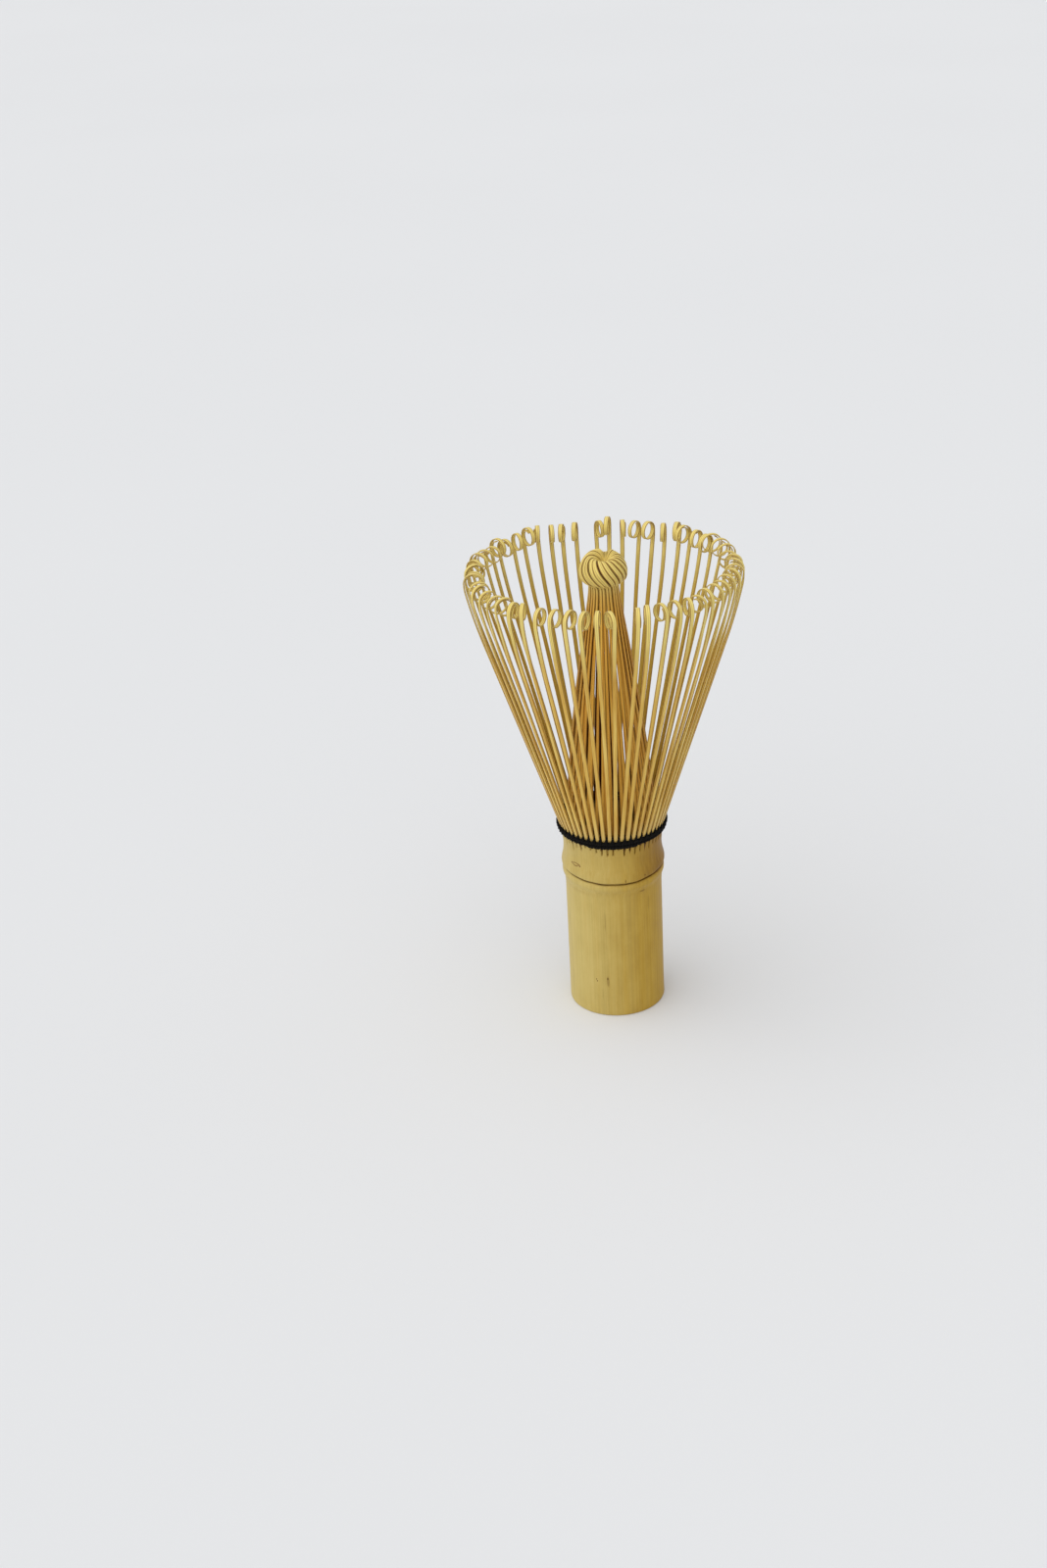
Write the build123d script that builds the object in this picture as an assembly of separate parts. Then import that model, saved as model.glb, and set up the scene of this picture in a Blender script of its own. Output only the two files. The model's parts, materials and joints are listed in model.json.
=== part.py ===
"""Bamboo tea whisk (chasen), standing on the foot of its handle.

Millimetres, +Z up, origin at the centre of the foot. Azimuth is measured from -Y, turning towards +X.
One bamboo culm is split above its node into outer and inner tines, and a thread is woven round their roots.
"""
from build123d import *
import math
import os
import random

# Culm: the handle below the node, the crown above it
HANDLE_R = 11.9
BORE_R = 9.3
FOOT_ROUND = 0.4
MOUTH_CHAMFER = 0.3
SWELL_START_Z = 33.2
NODE_Z = 37.6
NODE_R = 12.3
NODE_NOTCH = 0.2
SWELL_MID = (12.08, 34.9)
LOWER_RIDGE = (12.5, 36.2)
LOWER_RIDGE_CREST = (12.53, 36.7)
UPPER_RIDGE_FOOT_R = 12.4
UPPER_RIDGE = (12.72, 38.7)
UPPER_SHOULDER = (12.64, 39.7)
NECK_MID = (12.24, 41.6)
DIAPHRAGM_BELOW = 3.2
DIAPHRAGM_ABOVE = 0.4
WAIST_R = 12.1
WAIST_Z = 43.5
CROWN_BORE_R = 9.7
CROWN_BORE_TOP_Z = 44.6

# Outer tines: they flare out of the crown, run straight, ease upright and curl inwards
TINE_COUNT = 56
FIRST_AZIMUTH = -3.0
TINE_LEAN = 18.0
FLARE_R = 22.0
ROOT_GAP = 0.14
ROOT_THICK = 0.57
TIP_THICK = 0.30
ROOT_WIDTH = 0.98
TIP_WIDTH = 0.80
STEM_TOP_Z = 98.0
EASE_LENGTH = 14.0
EASE_LEAN = 12.5
UPRIGHT_R = 12.0
CURL_R = 2.32
CURL_STEP = 0.27
CURL_TURN = 460.0
CURL_Z = 114.6
CURL_LEAN = 16.0
HEAD_R = 36.0
HEAD_TOP_Z = 124.0
STEM_SPREAD = 0.5
LEAN_SPREAD = 0.22
CURL_SPREAD = 0.14
TURN_SPREAD = 50.0
SIDE_SPREAD = 0.5
# How far the tips of the tines that stray stand off their roots' azimuth, in degrees
STRAYS = {2: 3.4, 3: 1.0, 4: 2.2, 5: 2.0, 6: 1.6, 7: 1.9, 29: -1.3, 30: 1.9, 31: 1.7, 36: 2.4}

# Slits that part the tines, and the groove that parts the outer from the inner ones
SLIT_MARGIN = 1.0
SLIT_WIDTH = 0.5
SLIT_FOOT_Z = 46.6
SLIT_FOOT_SPREAD = 0.6
GROOVE_FOOT_Z = 45.6
GROOVE_FOOT_R = 11.68
GROOVE_FOOT_WIDTH = 0.16

# Inner tines: straight strips that lean in to the knot, in two layers at its neck
INNER_ROOT_R = 11.3
INNER_ROOT_THICK = 0.45
INNER_ROOT_WIDTH = 0.72
INNER_NECK_THICK = 0.38
INNER_NECK_WIDTHS = (0.50, 0.42)
INNER_NECK_RADII = (3.45, 2.75)

# Knot of folded-over inner tips, a round bun with a dimple on top
KNOT_FOOT_Z = 110.8
KNOT_FOOT_R = 3.9
KNOT_WIDEST = (5.5, 115.0)
KNOT_SHOULDER = (3.3, 118.9)
KNOT_TOP = (2.3, 119.2)
KNOT_INNER_LIP = (1.3, 118.6)
KNOT_DIMPLE_Z = 117.2

# Thread: two rows outside the outer tines and one behind them, joined by a pass through every slit
THREAD_R = 0.45
THREAD_ROW_Z = 49.6
LOWER_ROW_Z = 48.7
THREAD_CLEAR = 0.02
PASS_WIDTH = 0.4
PASS_Z = 49.26

SEED = 7


def polar(angle):
    """Unit vector (r, z) of a direction that leans outwards from vertical by angle, in degrees."""
    a = math.radians(angle)
    return Vector(math.sin(a), math.cos(a))


CROWN_TOP_Z = WAIST_Z + FLARE_R * polar(TINE_LEAN).X
CROWN_TOP_R = WAIST_R + FLARE_R * (1 - polar(TINE_LEAN).Y)
PITCH = 360 / TINE_COUNT


def flare_r(z):
    """Outside radius of the crown above its waist."""
    return WAIST_R + FLARE_R - math.sqrt(FLARE_R**2 - (z - WAIST_Z) ** 2)


def tine_plans():
    """One dictionary per outer tine: its azimuth, sideways tilt, lean, stem top and curl."""
    rng = random.Random(SEED)
    plans = []
    for i in range(TINE_COUNT):
        stray = rng.uniform(-SIDE_SPREAD, SIDE_SPREAD)
        stray = STRAYS.get(i, stray)
        plan = {
            "name": f"outer_tine_{i + 1:02d}",
            "azimuth": FIRST_AZIMUTH + i * PITCH,
            "lean": TINE_LEAN + rng.uniform(-LEAN_SPREAD, LEAN_SPREAD),
            "stem_top": STEM_TOP_Z + rng.uniform(-STEM_SPREAD, STEM_SPREAD),
            "curl_r": CURL_R + rng.uniform(-CURL_SPREAD, CURL_SPREAD),
            "turn": CURL_TURN + rng.uniform(-TURN_SPREAD, TURN_SPREAD),
        }
        tip_r = CROWN_TOP_R + (CURL_Z - CROWN_TOP_Z) * math.tan(math.radians(CURL_LEAN))
        sideways = tip_r * math.sin(math.radians(stray))
        plan["tilt"] = math.degrees(math.asin(sideways / (CURL_Z - CROWN_TOP_Z)))
        plans.append(plan)
    return plans


def tine_root(plan):
    """Centre of a tine's foot, (r, z)."""
    half = ROOT_THICK / 2 / polar(plan["lean"]).Y
    return Vector(CROWN_TOP_R - half, CROWN_TOP_Z + ROOT_GAP)


def tine_bends(plan):
    """The curved stretches above the stem, each (radius, degrees turned inwards)."""
    ease = plan["lean"] - EASE_LEAN
    bends = [(EASE_LENGTH / math.radians(ease), ease), (UPRIGHT_R, EASE_LEAN)]
    left = plan["turn"]
    radius = plan["curl_r"]
    while left > 0:
        turn = min(180.0, left)
        bends.append((radius, turn))
        radius -= CURL_STEP
        left -= turn
    return bends


def tine_profile(plan):
    """Side view of a tine in its radial plane, as a face in X = r, Y = z."""
    root = tine_root(plan)
    lean = plan["lean"]
    along = polar(lean)
    bend_start = root + along * ((plan["stem_top"] - root.Y) / along.Y)
    half = TIP_THICK / 2
    edges = []
    ends = []
    for side in (1, -1):
        foot = root + Vector(side * ROOT_THICK / 2 / along.Y, 0)
        angle = lean
        centre_point = bend_start
        outward = Vector(along.Y, -along.X)
        at = centre_point + outward * (side * half)
        edges.append(Line(foot, at))
        ends.append(foot)
        for radius, turn in tine_bends(plan):
            centre = centre_point - outward * radius
            mid_out = Vector(polar(angle - turn / 2).Y, -polar(angle - turn / 2).X)
            angle -= turn
            outward = Vector(polar(angle).Y, -polar(angle).X)
            middle = centre + mid_out * (radius + side * half)
            end = centre + outward * (radius + side * half)
            edges.append(ThreePointArc(at, middle, end))
            centre_point = centre + outward * radius
            at = end
        ends.append(at)
    edges.append(Line(ends[0], ends[2]))
    edges.append(Line(ends[1], ends[3]))
    return make_face(edges)


def outer_tine(plan):
    """A strip of the side profile's shape that narrows from its root to its tip."""
    side = Plane.XZ * tine_profile(plan)
    strip = extrude(side, amount=ROOT_WIDTH, both=True)
    root = tine_root(plan)
    narrow_z = plan["stem_top"]
    outline = Polyline(
        (-ROOT_WIDTH / 2, WAIST_Z),
        (-ROOT_WIDTH / 2, root.Y),
        (-TIP_WIDTH / 2, narrow_z),
        (-TIP_WIDTH / 2, HEAD_TOP_Z),
        (TIP_WIDTH / 2, HEAD_TOP_Z),
        (TIP_WIDTH / 2, narrow_z),
        (ROOT_WIDTH / 2, root.Y),
        (ROOT_WIDTH / 2, WAIST_Z),
        close=True,
    )
    front = extrude(Plane.YZ * make_face(outline), amount=HEAD_R)
    strip = strip & front
    tilted = Pos(root.X, 0, root.Y) * Rot(-plan["tilt"], 0, 0) * Pos(-root.X, 0, -root.Y) * strip
    return Rot(0, 0, plan["azimuth"] - 90) * tilted


def culm_profile():
    """Half section of the culm: foot, bore, node, diaphragm and the two lips that the tines are split from."""
    lip_r = CROWN_TOP_R - ROOT_THICK / polar(TINE_LEAN).Y
    flare_mid = WAIST_Z + FLARE_R * polar(TINE_LEAN / 2).X
    notch_low = (NODE_R, NODE_Z - NODE_NOTCH)
    notch = (NODE_R - NODE_NOTCH, NODE_Z)
    notch_high = (UPPER_RIDGE_FOOT_R, NODE_Z + NODE_NOTCH)
    edges = [
        Line((BORE_R + MOUTH_CHAMFER, 0), (HANDLE_R - FOOT_ROUND, 0)),
        RadiusArc((HANDLE_R - FOOT_ROUND, 0), (HANDLE_R, FOOT_ROUND), -FOOT_ROUND),
        Line((HANDLE_R, FOOT_ROUND), (HANDLE_R, SWELL_START_Z)),
        ThreePointArc((HANDLE_R, SWELL_START_Z), SWELL_MID, LOWER_RIDGE),
        ThreePointArc(LOWER_RIDGE, LOWER_RIDGE_CREST, notch_low),
        Line(notch_low, notch),
        Line(notch, notch_high),
        ThreePointArc(notch_high, UPPER_RIDGE, UPPER_SHOULDER),
        ThreePointArc(UPPER_SHOULDER, NECK_MID, (WAIST_R, WAIST_Z)),
        ThreePointArc(
            (WAIST_R, WAIST_Z),
            (flare_r(flare_mid), flare_mid),
            (CROWN_TOP_R, CROWN_TOP_Z),
        ),
        Line((CROWN_TOP_R, CROWN_TOP_Z), (lip_r, CROWN_TOP_Z)),
        Line((lip_r, CROWN_TOP_Z), (GROOVE_FOOT_R + GROOVE_FOOT_WIDTH / 2, GROOVE_FOOT_Z)),
        Line(
            (GROOVE_FOOT_R + GROOVE_FOOT_WIDTH / 2, GROOVE_FOOT_Z),
            (GROOVE_FOOT_R - GROOVE_FOOT_WIDTH / 2, GROOVE_FOOT_Z),
        ),
        Line(
            (GROOVE_FOOT_R - GROOVE_FOOT_WIDTH / 2, GROOVE_FOOT_Z),
            (INNER_ROOT_R, CROWN_TOP_Z),
        ),
        Line((INNER_ROOT_R, CROWN_TOP_Z), (INNER_ROOT_R - INNER_ROOT_THICK, CROWN_TOP_Z)),
        Line(
            (INNER_ROOT_R - INNER_ROOT_THICK, CROWN_TOP_Z),
            (CROWN_BORE_R, CROWN_BORE_TOP_Z),
        ),
        Line((CROWN_BORE_R, CROWN_BORE_TOP_Z), (CROWN_BORE_R, NODE_Z + DIAPHRAGM_ABOVE)),
        Line((CROWN_BORE_R, NODE_Z + DIAPHRAGM_ABOVE), (0, NODE_Z + DIAPHRAGM_ABOVE)),
        Line((0, NODE_Z + DIAPHRAGM_ABOVE), (0, NODE_Z - DIAPHRAGM_BELOW)),
        Line((0, NODE_Z - DIAPHRAGM_BELOW), (BORE_R, NODE_Z - DIAPHRAGM_BELOW)),
        Line((BORE_R, NODE_Z - DIAPHRAGM_BELOW), (BORE_R, MOUTH_CHAMFER)),
        Line((BORE_R, MOUTH_CHAMFER), (BORE_R + MOUTH_CHAMFER, 0)),
    ]
    return make_face(edges)


def culm_handle():
    """The whole culm, with a slit between each two tines through both lips."""
    culm = revolve(Plane.XZ * culm_profile(), Axis.Z)
    rng = random.Random(SEED + 1)
    slits = []
    for i in range(TINE_COUNT):
        foot = SLIT_FOOT_Z + rng.uniform(-SLIT_FOOT_SPREAD, SLIT_FOOT_SPREAD)
        height = CROWN_TOP_Z + SLIT_MARGIN - foot
        length = CROWN_TOP_R - CROWN_BORE_R + 2 * SLIT_MARGIN
        middle_r = (CROWN_TOP_R + CROWN_BORE_R) / 2
        slit = Pos(middle_r, 0, foot + height / 2) * Box(length, SLIT_WIDTH, height)
        slits.append(Rot(0, 0, FIRST_AZIMUTH + (i + 0.5) * PITCH - 90) * slit)
    return culm - slits


def inner_tine(index):
    """A straight strip from the inner lip to the neck of the knot."""
    layer = index % 2
    root_r = INNER_ROOT_R - INNER_ROOT_THICK / 2
    foot = Pos(root_r, 0, CROWN_TOP_Z) * Rectangle(INNER_ROOT_THICK, INNER_ROOT_WIDTH)
    neck_size = (INNER_NECK_THICK, INNER_NECK_WIDTHS[layer])
    neck = Pos(INNER_NECK_RADII[layer], 0, KNOT_FOOT_Z) * Rectangle(*neck_size)
    strip = loft([foot, neck], ruled=True)
    return Rot(0, 0, FIRST_AZIMUTH + index * PITCH - 90) * strip


def inner_tip_knot():
    """The bun that the folded inner tips make, with its dimple."""
    edges = [
        Line((0, KNOT_FOOT_Z), (KNOT_FOOT_R, KNOT_FOOT_Z)),
        ThreePointArc((KNOT_FOOT_R, KNOT_FOOT_Z), KNOT_WIDEST, KNOT_SHOULDER),
        ThreePointArc(KNOT_SHOULDER, KNOT_TOP, KNOT_INNER_LIP),
        Line(KNOT_INNER_LIP, (0, KNOT_DIMPLE_Z)),
        Line((0, KNOT_DIMPLE_Z), (0, KNOT_FOOT_Z)),
    ]
    return revolve(Plane.XZ * make_face(edges), Axis.Z)


def ring_at(z):
    """Centre radius of a row of thread that lies on the crown at height z."""
    return flare_r(z) + THREAD_R + THREAD_CLEAR


def thread_row(ring_r, z):
    """A row of thread round the crown, eight-sided in section."""
    section = Plane.XZ * Pos(ring_r, z) * RegularPolygon(THREAD_R, 8)
    return revolve(section, Axis.Z)


def binding_thread():
    """Rows of thread outside and behind the outer tines, joined by a pass through every slit."""
    groove_share = (PASS_Z - GROOVE_FOOT_Z) / (CROWN_TOP_Z - GROOVE_FOOT_Z)
    lip_r = CROWN_TOP_R - ROOT_THICK / polar(TINE_LEAN).Y
    groove_top_r = (lip_r + INNER_ROOT_R) / 2
    back_r = GROOVE_FOOT_R + (groove_top_r - GROOVE_FOOT_R) * groove_share
    pieces = [
        thread_row(back_r, PASS_Z),
        thread_row(ring_at(THREAD_ROW_Z), THREAD_ROW_Z),
        thread_row(ring_at(LOWER_ROW_Z), LOWER_ROW_Z),
    ]
    reach = ring_at(THREAD_ROW_Z) - back_r
    for i in range(TINE_COUNT):
        thread_pass = Pos(back_r + reach / 2, 0, PASS_Z) * Box(reach, PASS_WIDTH, PASS_WIDTH)
        pieces.append(Rot(0, 0, FIRST_AZIMUTH + (i + 0.5) * PITCH - 90) * thread_pass)
    return pieces[0] + pieces[1:]


def main():
    os.makedirs("parts", exist_ok=True)
    shapes = {
        "culm_handle": culm_handle(),
        "inner_tines": Compound(children=[inner_tine(i) for i in range(TINE_COUNT)]),
        "inner_tip_knot": inner_tip_knot(),
        "binding_thread": binding_thread(),
    }
    for plan in tine_plans():
        shapes[plan["name"]] = outer_tine(plan)
    for name, shape in shapes.items():
        export_step(shape, f"parts/{name}.step")


if __name__ == "__main__":
    main()
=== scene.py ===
import json
import math
import random

import bpy
import numpy as np
from mathutils import Matrix, Vector


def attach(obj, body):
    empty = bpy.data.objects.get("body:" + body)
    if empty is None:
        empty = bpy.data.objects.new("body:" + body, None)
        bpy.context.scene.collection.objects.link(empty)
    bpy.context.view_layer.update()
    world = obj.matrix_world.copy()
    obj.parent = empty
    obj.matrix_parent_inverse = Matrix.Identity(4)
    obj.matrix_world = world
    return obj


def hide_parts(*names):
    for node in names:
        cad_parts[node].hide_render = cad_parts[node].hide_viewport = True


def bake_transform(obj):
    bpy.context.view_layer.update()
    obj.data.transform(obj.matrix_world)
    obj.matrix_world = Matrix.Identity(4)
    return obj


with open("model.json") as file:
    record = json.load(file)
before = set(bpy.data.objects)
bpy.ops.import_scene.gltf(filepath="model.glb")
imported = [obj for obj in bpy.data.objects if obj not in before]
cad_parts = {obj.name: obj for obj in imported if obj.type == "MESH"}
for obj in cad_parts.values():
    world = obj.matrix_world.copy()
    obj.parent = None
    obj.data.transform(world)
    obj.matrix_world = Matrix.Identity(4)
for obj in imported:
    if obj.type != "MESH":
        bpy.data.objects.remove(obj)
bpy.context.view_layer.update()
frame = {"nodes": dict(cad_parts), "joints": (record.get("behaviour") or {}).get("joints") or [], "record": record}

# Lengths here are in millimetres, and each mesh is made in metres.
# Azimuths turn from -Y, the front, towards +X.
MM = 0.001
UP = np.array([0.0, 0.0, 1.0])
ROOT_BODY = "handle"
MOUNTS = {m["name"]: m for m in frame["record"]["mounts"]}
HANDLE_R = MOUNTS["handle_grip"]["dims"]["r_mm"]
BORE_R = MOUNTS["culm_bore"]["dims"]["r_mm"]
TINE_NODES = sorted(n for n in frame["nodes"] if n.startswith("outer_tine_"))
TINE_COUNT = len(TINE_NODES)
PITCH = math.tau / TINE_COUNT
FIRST_ROOT = frame["joints"][0]["pos_m"]
FIRST_AZIMUTH = math.atan2(FIRST_ROOT[0], -FIRST_ROOT[1])

SEED = 7
rng = random.Random(SEED)


# ---------------------------------------------------------------- shapes
def radial(azimuth):
    """Unit vector out from the axis, at an azimuth in radians."""
    return np.array([math.sin(azimuth), -math.cos(azimuth), 0.0])


def round_axis(r, azimuth, z):
    """Points in space from cylinder coordinates."""
    return np.stack([r * np.sin(azimuth), -r * np.cos(azimuth), z + 0 * azimuth], -1)


def smoothstep(t):
    t = np.clip(t, 0, 1)
    return t * t * (3 - 2 * t)


def bump(distance, width):
    """A bell curve, 1 in its middle."""
    return np.exp(-((distance / width) ** 2))


def wobble(angle, seed, waves):
    """A smooth closed wave round the axis: a few harmonics with seeded phases, about -1 to 1."""
    phases = random.Random(seed)
    total = np.zeros_like(angle)
    for k in waves:
        total += np.sin(k * angle + phases.uniform(0, math.tau)) / len(waves)
    return total


def unit(vectors):
    return vectors / np.linalg.norm(vectors, axis=1)[:, None]


def lengths_along(points):
    """Distance from the first point to each point, along the line."""
    return np.concatenate([[0], np.cumsum(np.linalg.norm(np.diff(points, axis=0), axis=1))])


def curve_through(points, per_span):
    """Points along a Catmull-Rom curve through the given ones."""
    p = np.array([points[0], *points, points[-1]], float)
    out = []
    for i in range(1, len(p) - 2):
        for t in np.linspace(0, 1, per_span, endpoint=False):
            a = 2 * p[i]
            b = (p[i + 1] - p[i - 1]) * t
            c = (2 * p[i - 1] - 5 * p[i] + 4 * p[i + 1] - p[i + 2]) * t * t
            d = (3 * p[i] - p[i - 1] - 3 * p[i + 1] + p[i + 2]) * t**3
            out.append((a + b + c + d) / 2)
    out.append(p[-2])
    return np.array(out)


def smoothed(points, times):
    """Rounds the corners of a line of points, ends kept."""
    for _ in range(times):
        inner = (points[:-2] + 2 * points[1:-1] + points[2:]) / 4
        points = np.concatenate([points[:1], inner, points[-1:]])
    return points


def ring_faces(rings, k, closed=False):
    """Faces of a skin over rings of k points, capped at its ends unless it closes on itself."""
    faces = []
    for i in range(rings if closed else rings - 1):
        j = (i + 1) % rings
        for m in range(k):
            n = (m + 1) % k
            faces.append([i * k + m, j * k + m, j * k + n, i * k + n])
    if not closed:
        faces.append(list(range(k)))
        faces.append([(rings - 1) * k + m for m in reversed(range(k))])
    return faces


def turned_over(faces):
    return [[f[0], *f[:0:-1]] for f in faces]


class Bundle:
    """Collects skins and makes one object of them, with two attributes that its material reads.

    The grain is three numbers that place the pattern: across, along and tag on a strip, and how
    dark the line and the ring are on the culm. The under is how far a point of a strip is towards
    its pith side.
    """

    def __init__(self):
        self.points = []
        self.faces = []
        self.grain = []
        self.under = []
        self.count = 0

    def add(self, points, faces, grain, under=None):
        self.points.append(points)
        self.grain.append(grain)
        self.under.append(np.zeros(len(points)) if under is None else under)
        self.faces += [[i + self.count for i in f] for f in faces]
        self.count += len(points)

    def make(self, name, material):
        mesh = bpy.data.meshes.new(name)
        mesh.from_pydata((np.concatenate(self.points) * MM).tolist(), [], self.faces)
        mesh.polygons.foreach_set("use_smooth", [True] * len(mesh.polygons))
        grain = mesh.attributes.new("grain", "FLOAT_VECTOR", "POINT")
        grain.data.foreach_set("vector", np.concatenate(self.grain).astype(np.float32).ravel())
        under = mesh.attributes.new("under", "FLOAT", "POINT")
        under.data.foreach_set("value", np.concatenate(self.under).astype(np.float32))
        mesh.validate()
        mesh.materials.append(material)
        obj = bpy.data.objects.new(name, mesh)
        bpy.context.scene.collection.objects.link(obj)
        return obj


# Section of a split strip, bark side up: across in half widths, through in thicknesses,
# and how far each point is towards the pith side
STRIP = np.array(
    [
        (-0.8, 0.5, 0.0),
        (-0.3, 0.55, 0.0),
        (0.3, 0.55, 0.0),
        (0.8, 0.5, 0.0),
        (1.0, 0.3, 0.3),
        (1.0, -0.3, 0.8),
        (0.8, -0.5, 1.0),
        (-0.8, -0.5, 1.0),
        (-1.0, -0.3, 0.8),
        (-1.0, 0.3, 0.3),
    ]
)
ROUND = np.array([(math.cos(a), math.sin(a)) for a in np.arange(8) * math.tau / 8])


def strip(centres, sides, normals, widths, thicks, tag, crown=0.0):
    """Sweeps the strip's section along a line. The grain is across (-1 to 1), along in mm, and tag.

    The crown rounds the section's faces over towards its edges.
    """
    n = len(centres)
    k = len(STRIP)
    across, through, under = STRIP.T
    crown = np.broadcast_to(crown, (n,))
    x = across[None, :, None] * (np.asarray(widths) / 2)[:, None, None]
    rise = through[None, :] - crown[:, None] * across[None, :] ** 2
    y = rise[:, :, None] * np.asarray(thicks)[:, None, None]
    points = centres[:, None, :] + x * sides[:, None, :] + y * normals[:, None, :]
    grain = np.zeros((n, k, 3))
    grain[:, :, 0] = across * np.sign(through)
    grain[:, :, 1] = lengths_along(centres)[:, None]
    grain[:, :, 2] = tag
    return points.reshape(-1, 3), ring_faces(n, k), grain.reshape(-1, 3), np.tile(under, n)


def cord(centres, radius, closed, side=None):
    """Sweeps a round section along a line. A line in one plane gives its normal as side."""
    n = len(centres)
    k = len(ROUND)
    if closed:
        tangents = unit(np.roll(centres, -1, 0) - np.roll(centres, 1, 0))
    else:
        tangents = unit(np.gradient(centres, axis=0))
    sides = unit(np.cross(tangents, UP)) if side is None else np.tile(side, (n, 1))
    tops = np.cross(sides, tangents)
    right, top = ROUND.T
    ring = right[None, :, None] * sides[:, None, :] + top[None, :, None] * tops[:, None, :]
    points = centres[:, None, :] + radius * ring
    grain = np.zeros((n, k, 3))
    grain[:, :, 0] = right
    grain[:, :, 1] = lengths_along(centres)[:, None]
    return points.reshape(-1, 3), ring_faces(n, k, closed), grain.reshape(-1, 3)


# ---------------------------------------------------------------- camera
CAMERA_DISTANCE = 462.7
CAMERA_HEIGHT = 291.5
CAMERA_PITCH = math.radians(26.56)
CAMERA_YAW = math.radians(2.62)
CAMERA_ROLL = math.radians(-3.16)
CAMERA_LENS = 48.8


def make_camera():
    data = bpy.data.cameras.new("camera")
    data.lens = CAMERA_LENS
    data.sensor_width = 36.0
    data.clip_start = 0.01
    data.clip_end = 20.0
    camera = bpy.data.objects.new("camera", data)
    bpy.context.scene.collection.objects.link(camera)
    cp, sp = math.cos(CAMERA_PITCH), math.sin(CAMERA_PITCH)
    cy, sy = math.cos(CAMERA_YAW), math.sin(CAMERA_YAW)
    cr, sr = math.cos(CAMERA_ROLL), math.sin(CAMERA_ROLL)
    forward = Vector((-sy * cp, cy * cp, -sp))
    level_right = Vector((cy, sy, 0))
    level_up = Vector((-sy * sp, cy * sp, cp))
    right = level_right * cr + level_up * sr
    up = level_up * cr - level_right * sr
    turn = Matrix((right, up, -forward)).transposed().to_4x4()
    place = Matrix.Translation((0, -CAMERA_DISTANCE * MM, CAMERA_HEIGHT * MM))
    camera.matrix_world = place @ turn
    bpy.context.scene.camera = camera


# ---------------------------------------------------------------- materials
class Shader:
    """A Principled material with short calls for the nodes that its pattern needs."""

    def __init__(self, name):
        self.material = bpy.data.materials.new(name)
        self.material.use_nodes = True
        self.tree = self.material.node_tree
        self.bsdf = self.tree.nodes["Principled BSDF"]

    def node(self, kind, inputs=(), **settings):
        node = self.tree.nodes.new(kind)
        for key, value in settings.items():
            setattr(node, key, value)
        for key, value in dict(inputs).items():
            if isinstance(value, bpy.types.NodeSocket):
                self.tree.links.new(value, node.inputs[key])
            else:
                node.inputs[key].default_value = value
        return node

    def position(self):
        return self.node("ShaderNodeTexCoord").outputs["Object"]

    def attribute(self, name, output="Vector"):
        return self.node("ShaderNodeAttribute", attribute_name=name).outputs[output]

    def parts(self, vector):
        return self.node("ShaderNodeSeparateXYZ", {0: vector}).outputs

    def stretch(self, vector, scale):
        return self.node("ShaderNodeMapping", {"Vector": vector, "Scale": scale}).outputs["Vector"]

    def noise(self, vector, detail, rough=0.5):
        inputs = {"Vector": vector, "Scale": 1.0, "Detail": detail, "Roughness": rough}
        return self.node("ShaderNodeTexNoise", inputs).outputs["Fac"]

    def math(self, operation, a, b=0.0):
        return self.node("ShaderNodeMath", {0: a, 1: b}, operation=operation).outputs[0]

    def total(self, *terms):
        """Sum of values, each with its weight."""
        parts = [self.math("MULTIPLY", value, weight) for value, weight in terms]
        result = parts[0]
        for part in parts[1:]:
            result = self.math("ADD", result, part)
        return result

    def vector_math(self, operation, a, b=(0, 0, 0), output="Vector"):
        return self.node("ShaderNodeVectorMath", {0: a, 1: b}, operation=operation).outputs[output]

    def span(self, value, low, high, to_low=0.0, to_high=1.0):
        """Eases from to_low to to_high while the value goes from low to high."""
        inputs = {0: value, 1: low, 2: high, 3: to_low, 4: to_high}
        return self.node("ShaderNodeMapRange", inputs, interpolation_type="SMOOTHSTEP").outputs[0]

    def ramp(self, value, positions, colours):
        node = self.node("ShaderNodeValToRGB", {0: value})
        band = node.color_ramp
        while len(band.elements) < len(colours):
            band.elements.new(0.5)
        for element, position, colour in zip(band.elements, positions, colours):
            element.position = position
            element.color = (*colour, 1)
        return node.outputs[0]

    def mix(self, share, a, b):
        """Goes from a to b, which can be a fixed colour."""
        if isinstance(b, tuple):
            b = (*b, 1)
        return self.node("ShaderNodeMix", {0: share, 6: a, 7: b}, data_type="RGBA").outputs[2]

    def finish(self, colour, rough, specular, height=None, depth=0.0):
        """Links the pattern to the shader. The height's bumps are depth mm deep."""
        self.tree.links.new(colour, self.bsdf.inputs["Base Color"])
        self.tree.links.new(rough, self.bsdf.inputs["Roughness"])
        self.bsdf.inputs["Specular IOR Level"].default_value = specular
        if height is not None:
            inputs = {"Height": height, "Strength": 1.0, "Distance": depth * MM}
            bumped = self.node("ShaderNodeBump", inputs).outputs["Normal"]
            self.tree.links.new(bumped, self.bsdf.inputs["Normal"])
        return self.material


# ---------------------------------------------------------------- culm
NODE_Z = 37.6
NODE_REACH = 2.2
NODE_SWAY = 0.7
SCAR_RING_Z = NODE_Z - 3.3
WAIST_R = 12.1
WAIST_Z = 43.5
FLARE_R = 22.0
CULM_TOP_Z = 49.7
DIAPHRAGM = (NODE_Z - 3.2, NODE_Z + 0.4)
CROWN_BORE_R = 9.7
LIP_THICK = 0.57
CENTRE_R = 0.02

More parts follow.
